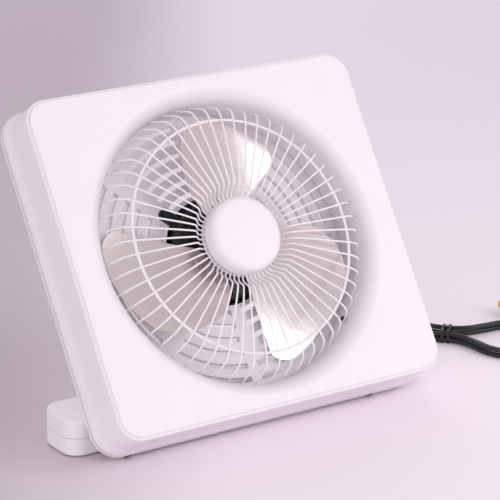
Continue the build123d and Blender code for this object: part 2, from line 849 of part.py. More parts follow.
def run_capacitor():
    low = stand_lift + stand_wall + 0.1
    middle = knob_x - 66.0
    box = block(middle - 12.0, middle + 12.0, stand_mid - 2.0, stand_mid + 20.0, low, low + 22.0)
    box = fillet(box.edges().filter_by(Axis.Z), 2.0)
    for y in (stand_mid + 4.0, stand_mid + 14.0):
        box += block(middle - 3.0, middle + 3.0, y - 0.4, y + 0.4, low + 21.5, low + 27.0)
    return box


# Mains cord, its hank, tie, plug and strain relief
relief_neck_r = 4.4
relief_x = 104.0
cord_z = cord_d / 2 + cord_floor


def loop_point(length):
    # Point, heading and left-hand side of the peanut-shaped loop, at a distance along it.
    centre = math.sqrt((lobe_r + waist_r) ** 2 - (waist_half + waist_r) ** 2)
    meet = math.atan2(waist_half + waist_r, centre)
    lobe = 2 * (math.pi - meet)
    waist = math.pi - 2 * meet
    spans = [lobe_r * lobe, waist_r * waist, lobe_r * lobe, waist_r * waist]
    length = length % sum(spans)
    for k, span in enumerate(spans):
        if length <= span:
            break
        length -= span
    turned = length / span
    if k == 0:
        angle = meet + lobe * turned
        spot = (-centre + lobe_r * math.cos(angle), lobe_r * math.sin(angle))
        out = (math.cos(angle), math.sin(angle))
    elif k == 1:
        angle = math.pi - meet - waist * turned
        spot = (waist_r * math.cos(angle), -waist_half - waist_r + waist_r * math.sin(angle))
        out = (-math.cos(angle), -math.sin(angle))
    elif k == 2:
        angle = meet - math.pi + lobe * turned
        spot = (centre + lobe_r * math.cos(angle), lobe_r * math.sin(angle))
        out = (math.cos(angle), math.sin(angle))
    else:
        angle = -meet - waist * turned
        spot = (waist_r * math.cos(angle), waist_half + waist_r + waist_r * math.sin(angle))
        out = (-math.cos(angle), -math.sin(angle))
    return spot, out


def loop_length():
    centre = math.sqrt((lobe_r + waist_r) ** 2 - (waist_half + waist_r) ** 2)
    meet = math.atan2(waist_half + waist_r, centre)
    return 4 * lobe_r * (math.pi - meet) + 2 * waist_r * (math.pi - 2 * meet)


def hank_point(turns):
    # Spirals in on the floor, climbs one layer as it reverses, and spirals out again on top.
    centre = math.sqrt((lobe_r + waist_r) ** 2 - (waist_half + waist_r) ** 2)
    meet = math.atan2(waist_half + waist_r, centre)
    begin = lobe_r * (math.radians(start_angle) - meet)
    spot, out = loop_point(begin + turns * loop_length())
    shift = hank_step * abs(hank_turns / 2 - turns)
    climb = min(max((turns - hank_turns / 2) / 0.5 + 0.5, 0.0), 1.0)
    climb = climb * climb * (3 - 2 * climb)
    lift = (tie_t + tie_gap) * math.exp(-((spot[0] / 25.0) ** 2))
    a = math.radians(hank_turn)
    x = spot[0] + shift * out[0]
    y = spot[1] + shift * out[1]
    return Vector(
        hank_x + x * math.cos(a) - y * math.sin(a),
        hank_y + x * math.sin(a) + y * math.cos(a),
        cord_z + lift + hank_layer * climb,
    )


def hank_heading(turns):
    step = 0.0005
    return (hank_point(turns + step) - hank_point(turns - step)).normalized()


def biarc(p0, t0, p1, t1):
    # Two arcs that leave p0 along t0 and reach p1 along t1.
    v = p1 - p0
    t = t0 + t1
    spread = 2 * (1 - t0.dot(t1))
    if spread < 1e-6:
        d = v.dot(v) / (4 * v.dot(t1))
    else:
        d = (-v.dot(t) + math.sqrt(v.dot(t) ** 2 + spread * v.dot(v))) / spread
    q0 = p0 + t0 * d
    q1 = p1 - t1 * d
    middle = (q0 + q1) * 0.5
    through = (q1 - q0).normalized()
    return [TangentArc(p0, middle, tangent=t0), TangentArc(middle, p1, tangent=through)]


hank_stations = 35
hank_start = hank_point(0.0)
hank_end = hank_point(hank_turns)


def flat(vector):
    return Vector(vector.X, vector.Y, 0).normalized()


def cord_hank():
    stops = [hank_turns * k / hank_stations for k in range(hank_stations + 1)]
    points = [hank_point(s) for s in stops]
    headings = [hank_heading(s) for s in stops]
    headings[0] = flat(headings[0])
    headings[-1] = flat(headings[-1])
    pieces = []
    for k in range(hank_stations):
        pieces += biarc(points[k], headings[k], points[k + 1], headings[k + 1])
    before = Line(points[0] - headings[0] * cord_d, points[0])
    after = Line(points[-1], points[-1] + headings[-1] * hank_tail)
    path = Wire([e for c in [before] + pieces + [after] for e in c.edges()])
    section = Plane(origin=points[0] - headings[0] * cord_d, x_dir=(0, 0, 1), z_dir=headings[0])
    tube = sweep(section * Rot(0, 0, 22.5) * RegularPolygon(cord_d / 2, 8), path=path)
    return tube, path


def least_gap(path):
    # Smallest clear distance between stretches of the hank that are not next to each other.
    count = 700
    spots = [path.position_at(k / count) for k in range(count + 1)]
    apart = int(3 * cord_d / (path.length / count)) + 1
    least = 1e9
    for i in range(len(spots)):
        a = spots[i]
        for j in range(i + apart, len(spots)):
            b = spots[j]
            least = min(least, (a.X - b.X) ** 2 + (a.Y - b.Y) ** 2 + (a.Z - b.Z) ** 2)
    return math.sqrt(least) - cord_d


def cord_points():
    # Free stretch of the cord, from the strain relief's tip to the hank, chosen by hand.
    x = relief_x
    y = stand_back + relief_len + 0.1
    end = hank_start - flat(hank_heading(0.0)) * (cord_d + 0.05)
    return [
        Vector(x, y, relief_z),
        Vector(x, y + 32, relief_z),
        Vector(x + 14, y + 64, cord_z),
        Vector(x + 46, y + 74, cord_z),
        Vector(end.X, y + 50, cord_z),
        end,
    ]


def corner_radii(points):
    radii = []
    for k in range(1, len(points) - 1):
        before = points[k] - points[k - 1]
        after = points[k + 1] - points[k]
        turn = math.radians(before.get_angle(after))
        radii.append(0.45 * min(before.length, after.length) / math.tan(turn / 2))
    return radii


def power_cord():
    points = cord_points()
    radii = corner_radii(points)
    print("cord radii, mm:", [round(r, 1) for r in radii])
    path = FilletPolyline(*points, radius=radii)
    section = Plane(origin=points[0], x_dir=(0, 0, 1), z_dir=(0, 1, 0)) * RegularPolygon(cord_d / 2, 12)
    tube = sweep(section, path=path)
    area = section.area
    print("cord length, mm:", round(path.length, 1), "volume over section:", round(tube.volume / area, 1))
    return tube


def strain_relief():
    base = stand_back
    taper = region(
        Line((0, 0), (relief_root_r, 0)),
        Line((relief_root_r, 0), (relief_root_r, 2.0)),
        Line((relief_root_r, 2.0), (relief_root_r - 0.8, 3.0)),
        Line((relief_root_r - 0.8, 3.0), (relief_tip_r, relief_len)),
        Line((relief_tip_r, relief_len), (0, relief_len)),
        Line((0, relief_len), (0, 0)),
    )
    relief = spun(taper) + tube_z(relief_neck_r, -stand_wall - 0.6, 0.5)
    relief += tube_z(relief_neck_r + 0.9, -stand_wall - 3.0, -stand_wall - 0.2)
    return Pos(relief_x, base + 0.05, relief_z) * Rot(-90, 0, 0) * relief


def cord_tie():
    # Two turns of flat band round the waist of the hank, joined where they are twisted together.
    angle = math.radians(hank_turn)
    samples = 1000
    sides = []
    heights = []
    for k in range(samples + 1):
        p = hank_point(hank_turns * k / samples) - Vector(hank_x, hank_y, 0)
        if abs(p.X * math.cos(angle) + p.Y * math.sin(angle)) < 2 * tie_w:
            sides.append(p.Y * math.cos(angle) - p.X * math.sin(angle))
            heights.append(p.Z)
    room = cord_d / 2 + tie_gap
    wide = max(sides) - min(sides) + 2 * room
    high = max(heights) + room
    tall = high - tie_t - cord_floor
    middle = ((max(sides) + min(sides)) / 2, high - tall / 2)
    print("tie, mm:", round(min(sides), 2), round(max(sides), 2), round(min(heights), 2), round(max(heights), 2))
    outer = RectangleRounded(wide + 2 * tie_t, tall + 2 * tie_t, 2.0 + tie_t)
    band = extrude(Pos(*middle) * (outer - RectangleRounded(wide, tall, 2.0)), tie_w / 2, both=True)
    tie = Part()
    for x in (-tie_w, tie_w):
        tie += Plane(origin=(x, 0, 0), x_dir=(0, 1, 0), z_dir=(1, 0, 0)) * band
    return tie + block(-tie_w, tie_w, middle[0] - 2.0, middle[0] + 2.0, high + 0.1, high + tie_t + 1.6)


def plug():
    # Body along +X from the cord's end, flat on the floor, and its two flat pins.
    body = Pos(plug_neck, 0, 0) * Rot(0, 90, 0) * Rot(0, 0, 90) * extrude(RectangleRounded(plug_w, plug_h, 5.0), plug_len)
    body = fillet(body.edges().group_by(Axis.X)[0], 3.0)
    body = fillet(body.edges().group_by(Axis.X)[-1], 1.0)
    neck = spun(
        region(
            Line((0, 0.05), (3.6, 0.05)),
            Line((3.6, 0.05), (5.0, plug_neck + 2)),
            Line((5.0, plug_neck + 2), (0, plug_neck + 2)),
            Line((0, plug_neck + 2), (0, 0.05)),
        )
    )
    body += Rot(0, 90, 0) * neck
    pins = []
    tip = plug_neck + plug_len
    for y in (-6.35, 6.35):
        pin = block(tip - 6.0, tip + 17.0, y - 0.75, y + 0.75, -3.15, 3.15)
        pins.append(chamfer(pin.edges().group_by(Axis.X)[-1], 0.4))
        body -= block(tip - 6.05, tip + 1.0, y - 0.8, y + 0.8, -3.2, 3.2)
    return body, pins


hank, hank_path = cord_hank()
print("hank length, mm:", round(hank_path.length, 1), "least gap, mm:", round(least_gap(hank_path), 2))
front_bush, rear_bush = bushes()
plug_body, plug_pins = plug()
tail = flat(hank_heading(hank_turns))
plug_at = Plane(origin=hank_end + tail * hank_tail, x_dir=tail, z_dir=(0, 0, 1))
tie_at = Pos(hank_x, hank_y, 0) * Rot(0, 0, hank_turn)

head = {
    "front_cover": front_cover(),
    "rear_casing": rear_casing(),
    "guard": guard(),
    "hub_cap": hub_cap(),
    "hub_cap_backing": hub_cap_backing(),
    "hub_cap_screw": hub_cap_screw(),
    "fan_blade_1": fan_blade(0),
    "fan_blade_2": fan_blade(1),
    "fan_blade_3": fan_blade(2),
    "blade_hub": blade_hub(),
    "blade_rivets": blade_rivets(),
    "blade_nut": blade_nut(),
    "motor_shaft": motor_shaft(),
    "rotor_core": rotor_core(),
    "stator_core": stator_core(),
    "stator_windings": stator_windings(),
    "motor_front_housing": motor_front_housing(),
    "motor_rear_housing": motor_rear_housing(),
    "front_bearing": front_bush,
    "rear_bearing": rear_bush,
    "motor_through_bolts": through_bolts(),
    "motor_mount_screws": motor_mount_screws(),
    "casing_screws": casing_screws(),
    "foot_pads": foot_pads(),
    "hinge_pins": hinge_pins(),
}
stand = {
    "stand_upper_shell": stand_upper_shell(),
    "stand_lower_shell": stand_lower_shell(),
    "stand_screws": stand_screws(),
    "stand_pads": stand_pads(),
    "stand_weight": stand_weight(),
    "hinge_arms": hinge_arms(),
    "speed_switch": speed_switch(),
    "switch_nut": switch_nut(),
    "speed_knob": speed_knob(),
    "switch_spindle": switch_spindle(),
    "run_capacitor": run_capacitor(),
}
cord = {
    "strain_relief": strain_relief(),
    "power_cord": power_cord(),
    "cord_hank": hank,
    "cord_tie": tie_at * cord_tie(),
    "plug_body": plug_at * plug_body,
    "plug_pins": [plug_at * pin for pin in plug_pins],
}


def grouped(shape):
    return Compound(children=list(shape)) if isinstance(shape, list) else shape


set_head = Pos(0, 0, axis_h) * Rot(90 - lean, 0, 0) * Pos(0, -axis_v, -axis_w)
placed = {name: set_head * grouped(shape) for name, shape in head.items()}
placed.update({name: grouped(shape) for name, shape in stand.items()})

# The origin is the middle of the fan's own footprint on the floor, the cord left aside.
low = min(shape.bounding_box().min.Y for shape in placed.values())
high = max(shape.bounding_box().max.Y for shape in placed.values())
shift = -(low + high) / 2
placed.update({name: grouped(shape) for name, shape in cord.items()})
for name, shape in placed.items():
    export_step(Pos(0, shift, 0) * shape, f"parts/{name}.step")
print("hinge axis at y, z, mm:", round(shift, 3), axis_h)
print("face centre, mm:", (set_head * Pos(0, 0, 0)).position, "plus", round(shift, 3))
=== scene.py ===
# %% [markdown]
# A portable table fan: a square moulded head with a round, wire-guarded opening leans back on a low
# stand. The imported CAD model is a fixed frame. Most of its shapes are right and only need their
# finish, so this script adds the smooth round forms that the CAD keeps plain: the guard's wires,
# the hub cap and the cord.

# %% Load the frame
import json
import math

import bmesh
import bpy
from mathutils import Matrix, Vector


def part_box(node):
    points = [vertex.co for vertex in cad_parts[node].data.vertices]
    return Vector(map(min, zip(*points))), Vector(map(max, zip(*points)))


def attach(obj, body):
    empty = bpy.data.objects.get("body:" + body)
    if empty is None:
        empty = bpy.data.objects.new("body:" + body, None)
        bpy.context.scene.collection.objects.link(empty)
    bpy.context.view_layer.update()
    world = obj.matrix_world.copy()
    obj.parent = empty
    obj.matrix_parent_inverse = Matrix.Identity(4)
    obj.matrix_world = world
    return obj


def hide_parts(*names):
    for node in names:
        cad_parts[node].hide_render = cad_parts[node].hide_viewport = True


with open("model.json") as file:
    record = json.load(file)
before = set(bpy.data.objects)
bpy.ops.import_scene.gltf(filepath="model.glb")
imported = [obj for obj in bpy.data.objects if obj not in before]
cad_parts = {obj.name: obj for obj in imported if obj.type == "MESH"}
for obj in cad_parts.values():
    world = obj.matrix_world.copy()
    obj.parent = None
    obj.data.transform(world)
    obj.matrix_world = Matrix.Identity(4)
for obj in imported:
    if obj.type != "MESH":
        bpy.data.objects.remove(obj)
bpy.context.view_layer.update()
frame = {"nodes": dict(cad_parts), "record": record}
MM = 0.001

# %% [markdown]
# The head leans back, so its pieces are easiest to make lying flat: X to the right, Y up the face
# and Z out of it, with the origin in the middle of the face. The fan's own axis gives the matrix
# that sets them in place.

# %% Where the head is
joints = {joint["name"]: joint for joint in frame["record"]["behaviour"]["joints"]}
face_centre = Vector(joints["fan_spin"]["pos_m"])
out_of_face = Vector(joints["fan_spin"]["axis"]).normalized()
hinge = Vector(joints["head_tilt"]["pos_m"])
across_face = Vector((1, 0, 0))
up_face = out_of_face.cross(across_face)
head_place = Matrix((across_face, up_face, out_of_face)).transposed().to_4x4()
head_place.translation = face_centre
print("face centre, m:", [round(v, 4) for v in face_centre])

# %% [markdown]
# The camera stands where the photograph was taken, to the left and above, far off with a long lens.
# Its place was solved from the corners of the face. It is made first, because a cord that reaches
# far out of the view has to be shortened or coiled in the CAD.

# %% Camera
camera_right = Vector((0.83396, -0.55184, 0.0))
camera_up = Vector((0.17538, 0.26505, 0.94815))
camera_back = Vector((-0.52323, -0.79072, 0.31782))
camera_from_face = Vector((-1.1941, -1.8219, 0.7180))
camera_data = bpy.data.cameras.new("camera")
camera_data.lens = 180.5
camera_data.sensor_width = 36.0
camera_data.clip_end = 50.0
camera = bpy.data.objects.new("camera", camera_data)
bpy.context.scene.collection.objects.link(camera)
turn = Matrix((camera_right, camera_up, camera_back)).transposed().to_4x4()
camera.matrix_world = Matrix.Translation(face_centre + camera_from_face) @ turn
bpy.context.scene.camera = camera
bpy.context.scene.view_settings.view_transform = "Standard"
print("camera, m:", [round(v, 3) for v in camera.location])

# %% [markdown]
# The mains cord leaves the stand's back through its strain relief, drops to the floor and goes into
# a hank: two and a half turns of a peanut-shaped loop, tied at its waist. The loop is made of four
# arcs, and the turns lie beside and on each other, one cord's width apart. The cord is one smooth
# spline all the way.

# %% Smooth round lines
def round_line(name, places, diameter, rings, steps):
    # A spline with the given places as its control points. Its order is set after the points are added.
    curve = bpy.data.curves.new(name, "CURVE")
    curve.dimensions = "3D"
    curve.bevel_depth = diameter / 2
    curve.bevel_resolution = rings
    curve.use_fill_caps = True
    spline = curve.splines.new("NURBS")
    spline.points.add(len(places) - 1)
    for point, place in zip(spline.points, places):
        point.co = (*place, 1)
    spline.order_u = 3
    spline.use_endpoint_u = True
    spline.resolution_u = steps
    return curve


def mesh_of_curve(curve):
    carrier = bpy.data.objects.new(curve.name, curve)
    mesh = bpy.data.meshes.new_from_object(carrier)
    bpy.data.objects.remove(carrier)
    return mesh


# %% Cord sizes
CORD_D = 5.0 * MM
CORD_Z = CORD_D / 2 + 0.1 * MM
LOBE_R = 42.0 * MM
WAIST_R = 45.0 * MM
WAIST_HALF = 3.0 * MM
HANK_STEP = 5.9 * MM
HANK_LAYER = 5.7 * MM
HANK_TURNS = 2.5
CLIMB_TURNS = 0.5
STATIONS = 60
START_ANGLE = math.radians(225.0)
TIE_LIFT = 1.15 * MM
TIE_REACH = 25.0 * MM
HANK_TAIL = 30.0 * MM
RELIEF_GRIP = 2.0 * MM
PLUG_GRIP = 2.0 * MM
hank_centre = Vector((275.0 * MM, hinge.y + 76.0 * MM, 0))
hank_turn = Matrix.Rotation(math.radians(-45.0), 3, "Z")
lobe_centre = math.sqrt((LOBE_R + WAIST_R) ** 2 - (WAIST_HALF + WAIST_R) ** 2)
meet = math.atan2(WAIST_HALF + WAIST_R, lobe_centre)
spans = [LOBE_R * 2 * (math.pi - meet), WAIST_R * (math.pi - 2 * meet)] * 2
print("one turn of the hank, mm:", round(sum(spans) / MM, 1))


# %% Points along the hank
def loop_point(along):
    # Where the loop is at a distance along it, and which way is out of it.
    along = along % sum(spans)
    arc = 0
    while along > spans[arc]:
        along -= spans[arc]
        arc += 1
    side = -1 if arc < 2 else 1
    if arc % 2 == 0:
        angle = meet + along / LOBE_R if side < 0 else meet - math.pi + along / LOBE_R
        out = Vector((math.cos(angle), math.sin(angle), 0))
        return Vector((side * lobe_centre, 0, 0)) + LOBE_R * out, out
    angle = math.pi - meet - along / WAIST_R if side < 0 else -meet - along / WAIST_R
    inward = Vector((math.cos(angle), math.sin(angle), 0))
    return Vector((0, side * (WAIST_HALF + WAIST_R), 0)) + WAIST_R * inward, -inward


def hank_point(turns):
    # In on the floor, up one layer as it reverses, and out again on top.
    spot, out = loop_point(LOBE_R * (START_ANGLE - meet) + turns * sum(spans))
    climb = min(max((turns - HANK_TURNS / 2) / CLIMB_TURNS + 0.5, 0.0), 1.0)
    lift = TIE_LIFT * math.exp(-((spot.x / TIE_REACH) ** 2))
    spot = spot + out * HANK_STEP * abs(HANK_TURNS / 2 - turns)
    spot.z = CORD_Z + lift + HANK_LAYER * climb * climb * (3 - 2 * climb)
    return hank_centre + hank_turn @ spot


hank_points = [hank_point(HANK_TURNS * k / STATIONS) for k in range(STATIONS + 1)]
print("hank points:", len(hank_points))

# %% The whole cord
relief_low, relief_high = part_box("strain_relief")
exit_x = (relief_low[0] + relief_high[0]) / 2
exit_z = (relief_low[2] + relief_high[2]) / 2
exit_y = relief_high[1] - RELIEF_GRIP
free_points = [
    Vector((exit_x, exit_y, exit_z)),
    Vector((exit_x, exit_y + 34 * MM, exit_z)),
    Vector((exit_x + 14 * MM, exit_y + 66 * MM, CORD_Z)),
    Vector((exit_x + 46 * MM, exit_y + 76 * MM, CORD_Z)),
    Vector((hank_points[0].x, exit_y + 52 * MM, CORD_Z)),
]
tail = hank_points[-1] - hank_point(HANK_TURNS - 0.001)
tail.z = 0
cord_end = hank_points[-1] + tail.normalized() * (HANK_TAIL + PLUG_GRIP)
route = free_points + hank_points + [cord_end]
cord_curve = round_line("mains_cord", route, CORD_D, rings=4, steps=10)
# With no thickness the curve gives the line that the cord follows, and with its thickness the cord
# itself.
cord_curve.bevel_depth = 0
cord_line = [v.co.copy() for v in mesh_of_curve(cord_curve).vertices]
cord_curve.bevel_depth = CORD_D / 2
cord_mesh = mesh_of_curve(cord_curve)
cord_mesh.shade_smooth()
mains_cord = bpy.data.objects.new("mains_cord", cord_mesh)
bpy.context.scene.collection.objects.link(mains_cord)
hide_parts("power_cord", "cord_hank")
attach(mains_cord, "base")
print("cord's control points:", len(route))

# %% [markdown]
# Finishes are node graphs. One function turns the colours, written as sRGB hex values, to the
# linear light that the renderer works in, and one adds a node with its settings, values and links.

# %% Helpers for materials
DRIFT_SIZE = 24 * MM
NOISE_LOW, NOISE_HIGH = 0.3, 0.7
RELIEF_STRENGTH = 0.6


def srgb(code):
    channels = [int(code[k : k + 2], 16) / 255 for k in (1, 3, 5)]
    return [c / 12.92 if c <= 0.04045 else ((c + 0.055) / 1.055) ** 2.4 for c in channels] + [1.0]


def add_node(material, kind, inputs=None, **settings):
    node = material.node_tree.nodes.new(kind)
    for name, value in settings.items():
        setattr(node, name, value)
    for name, value in (inputs or {}).items():
        if isinstance(value, bpy.types.NodeSocket):
            material.node_tree.links.new(value, node.inputs[name])
        else:
            node.inputs[name].default_value = value
    return node


def new_material(name):
    material = bpy.data.materials.new(name)
    material.use_nodes = True
    material.node_tree.nodes.clear()
    return material


def surface(material, inputs):
    shader = add_node(material, "ShaderNodeBsdfPrincipled", inputs)
    add_node(material, "ShaderNodeOutputMaterial", {"Surface": shader.outputs["BSDF"]})
    return material


def grained(
    name, dark, light, roughness, spread, grain_mm, height_mm, metallic=0.0, stretch=(1, 1, 1), turned=0.0
):
    # A surface whose colour and polish drift a little, with a fine relief of the given grain.
    material = new_material(name)
    place = add_node(material, "ShaderNodeTexCoord").outputs["Object"]
    stretched = add_node(
        material, "ShaderNodeMapping", {"Vector": place, "Rotation": (0, turned, 0), "Scale": stretch}
    ).outputs["Vector"]
    drift = add_node(
        material, "ShaderNodeTexNoise", {"Vector": stretched, "Scale": 1 / DRIFT_SIZE, "Detail": 3.0}
    ).outputs["Fac"]
    fine = add_node(
        material, "ShaderNodeTexNoise", {"Vector": stretched, "Scale": 1 / (grain_mm * MM), "Detail": 2.0}
    ).outputs["Fac"]
    colour = add_node(
        material,
        "ShaderNodeMix",
        {"Factor": drift, "A": srgb(dark), "B": srgb(light)},
        data_type="RGBA",
    )
    polish = add_node(
        material,
        "ShaderNodeMapRange",
        {
            "Value": fine,
            "From Min": NOISE_LOW,
            "From Max": NOISE_HIGH,
            "To Min": roughness - spread,
            "To Max": roughness + spread,
        },
    ).outputs["Result"]
    relief = add_node(
        material, "ShaderNodeBump", {"Height": fine, "Strength": RELIEF_STRENGTH, "Distance": height_mm * MM}
    ).outputs["Normal"]
    return surface(
        material,
        {"Base Color": colour.outputs["Result"], "Roughness": polish, "Normal": relief, "Metallic": metallic},
    )


# %% [markdown]
# White ABS, injection moulded against a lightly etched tool: a satin white with a very fine grain.
# The real etch is finer than a pixel, so it is drawn at 0.8 mm, which is the coarsest that still
# reads as smooth.

# %% White mouldings
moulded_abs = grained("moulded_white_abs", "#F0EAEF", "#F4EFF4", 0.42, 0.04, 0.8, 0.012)
moulded_nylon = grained("moulded_white_nylon", "#E6E0E5", "#EDE7EC", 0.5, 0.05, 0.8, 0.015)
powder_coat = grained("white_powder_coated_wire", "#EFEAEE", "#F6F2F5", 0.36, 0.05, 0.6, 0.02)
print("white finishes:", moulded_abs.name, moulded_nylon.name, powder_coat.name)

# %% [markdown]
# Each blade is cold-rolled sheet, polished to a soft sheen before it was cut, so it shows the dark
# hub and the pale wires as soft bands. Rolling leaves faint long streaks, drawn 0.9 mm wide and
# many times as long, and each blade was stamped in its own direction, so each has its own turn.

# %% Metals
BLADES = 3
ROLLING = (0.04, 1, 1)
ROLLED_AT = [math.radians(38 - 120 * k) for k in range(BLADES)]
polished_sheet = [
    grained(f"polished_sheet_{k + 1}", "#E8DDDA", "#F2E9E8", 0.25, 0.03, 0.9, 0.002, 1.0, ROLLING, rolled)
    for k, rolled in enumerate(ROLLED_AT)
]
satin_sheet = grained("satin_rivet_metal", "#CFC6C4", "#DAD2D1", 0.45, 0.05, 0.5, 0.005, 1.0)
zinc_plate = grained("zinc_plated_steel", "#A9AAAC", "#C2C3C6", 0.34, 0.07, 0.4, 0.01, 1.0)
STACKED = (1, 8, 8)
WOUND = (1, 6, 6)
electrical_steel = grained(
    "electrical_steel_stack", "#56565A", "#6A6A6E", 0.5, 0.08, 0.5, 0.03, 1.0, STACKED
)
enamelled_copper = grained(
    "enamelled_copper_wire", "#8A4A24", "#A45C30", 0.35, 0.08, 0.5, 0.05, 1.0, WOUND
)
sintered_bronze = grained("sintered_bronze", "#7A5E3C", "#8E7048", 0.55, 0.08, 0.3, 0.02, 1.0)
plated_brass = grained("plated_brass_pin", "#C9BA8A", "#D8CA9C", 0.25, 0.05, 0.4, 0.006, 1.0)
print("blade finishes:", [m.name for m in polished_sheet])

# %% [markdown]
# The motor's castings are painted black, with the orange-peel of sprayed enamel. The cord and plug
# are soft PVC, which is black with a dull sheen, and the feet are moulded rubber, which is rougher
# and greyer.

# %% Dark finishes
black_enamel = grained("black_enamelled_casting", "#17161A", "#1F1E22", 0.4, 0.06, 1.6, 0.05)
black_phenolic = grained("black_phenolic_moulding", "#1B1A1D", "#232225", 0.48, 0.06, 0.8, 0.02)
soft_pvc = grained("soft_black_pvc", "#1C181C", "#262126", 0.4, 0.06, 1.0, 0.03)
moulded_rubber = grained("moulded_rubber", "#2C2B2D", "#363538", 0.7, 0.08, 0.6, 0.04)
mains_cord.data.materials.append(soft_pvc)
print("dark finishes:", black_enamel.name, soft_pvc.name, moulded_rubber.name)

# %% [markdown]
# The CAD meshes stay as they are. A modifier joins their loose triangles and shades them smooth,
# apart from edges sharper than 25 degrees, so that a turned or bent surface shines as one and a
# real edge stays crisp.

# %% Smooth shading for the CAD nodes
JOIN_WITHIN = 0.002 * MM
SHARP_ANGLE = math.radians(25)


def shading_modifier():
    group = bpy.data.node_groups.new("shade_by_angle", "GeometryNodeTree")
    group.interface.new_socket("Geometry", in_out="INPUT", socket_type="NodeSocketGeometry")
    group.interface.new_socket("Geometry", in_out="OUTPUT", socket_type="NodeSocketGeometry")
    start = group.nodes.new("NodeGroupInput")
    merge = group.nodes.new("GeometryNodeMergeByDistance")
    merge.inputs["Distance"].default_value = JOIN_WITHIN
    angle = group.nodes.new("GeometryNodeInputMeshEdgeAngle")
    gentle = group.nodes.new("FunctionNodeCompare")
    gentle.operation = "LESS_THAN"
    gentle.inputs["B"].default_value = SHARP_ANGLE
    faces = group.nodes.new("GeometryNodeSetShadeSmooth")
    edges = group.nodes.new("GeometryNodeSetShadeSmooth")
    edges.domain = "EDGE"
    end = group.nodes.new("NodeGroupOutput")
    link = group.links.new
    link(start.outputs["Geometry"], merge.inputs["Geometry"])
    link(merge.outputs["Geometry"], faces.inputs["Geometry"])
    link(faces.outputs["Geometry"], edges.inputs["Geometry"])
    link(angle.outputs["Unsigned Angle"], gentle.inputs["A"])
    link(gentle.outputs["Result"], edges.inputs["Shade Smooth"])
    link(edges.outputs["Geometry"], end.inputs["Geometry"])
    return group


shade_by_angle = shading_modifier()
finish_of_slot = {
    "white_shell": moulded_abs,
    "white_wire": powder_coat,
    "white_arm": moulded_nylon,
    "white_knob": moulded_abs,
    "blade_metal": polished_sheet[0],
    "zinc_steel": zinc_plate,
    "motor_iron": electrical_steel,
    "copper_wire": enamelled_copper,
    "bronze_bush": sintered_bronze,
    "pin_brass": plated_brass,
    "black_casting": black_enamel,
    "black_plastic": black_phenolic,
    "cord_jacket": soft_pvc,
    "dark_rubber": moulded_rubber,
}
own_finish = {f"fan_blade_{k + 1}": polished_sheet[k] for k in range(BLADES)}
for name in ("blade_hub", "blade_nut", "motor_mount_screws", "motor_through_bolts"):
    own_finish[name] = black_enamel
own_finish["blade_rivets"] = satin_sheet
for part in frame["record"]["subparts"]:
    node = frame["nodes"][part["node"]]
    node.data.materials.clear()
    node.data.materials.append(own_finish.get(part["node"], finish_of_slot[part["material_slot"]]))
    modifier = node.modifiers.new("shade_by_angle", "NODES")
    modifier.node_group = shade_by_angle

# %% [markdown]
# The guard is spot-welded from 56 bent wires, a ring behind them and a disc that the hub cap hides.
# The CAD has them with six sides and mitred bends. Here one wire follows the same bends as a smooth
# round spline and is then spun round the fan's axis as copies, which is how a bmesh repeats a shape
# in a circle.

# %% One wire of the guard
WIRES = 56
WIRE_D = 1.8 * MM
WIRE_PHASE = math.radians(5.2)
BEND_NEAR_MM = 2.5
# Distance from the fan's axis and height over the face, in mm, from the disc out to the throat.
wire_bends = [
    (30.0, -1.0),
    (41.5, -1.0),
    (45.5, 4.0),
    (50.0, 11.0),
    (113.0, 8.5),
    (122.0, 5.5),
    (126.5, -2.0),
    (133.5, -21.0),
]


def near_points(bends, near_mm):
    # Two points beside each bend keep the spline close to it, as a bender leaves a small radius.
    points = [Vector((r, 0, w)) for r, w in bends]
    closer = [points[0]]
    for before, bend, after in zip(points, points[1:], points[2:]):
        reach = min(near_mm, (bend - before).length / 3, (after - bend).length / 3)
        closer.append(bend + (before - bend).normalized() * reach)
        closer.append(bend + (after - bend).normalized() * reach)
    return closer + [points[-1]]


wire_places = [place * MM for place in near_points(wire_bends, BEND_NEAR_MM)]
wire_mesh = mesh_of_curve(round_line("guard_wire", wire_places, WIRE_D, rings=1, steps=3))
print("one wire's points:", len(wire_places))


# %% Helpers for pieces
def finished(mesh_data, name, body, material, place, smooth_angle=40.0):
    # Turns a bmesh into a piece of the fan: set in place, shaded, and riding on its body.
    mesh_data.normal_update()
    mesh = bpy.data.meshes.new(name)
    mesh_data.to_mesh(mesh)
    mesh_data.free()
    mesh.transform(place)
    mesh.shade_smooth()
    mesh.set_sharp_from_angle(angle=math.radians(smooth_angle))
    mesh.materials.append(material)
    piece = bpy.data.objects.new(name, mesh)
    bpy.context.scene.collection.objects.link(piece)
    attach(piece, body)
    print(name, "faces:", len(mesh.polygons))
    return piece


def spin_round(mesh_data, geometry, steps, copies=False, angle=2 * math.pi):
    return bmesh.ops.spin(
        mesh_data,
        geom=geometry,
        cent=(0, 0, 0),
        axis=(0, 0, 1),
        angle=angle,
        steps=steps,
        use_merge=not copies,
        use_duplicate=copies,
    )


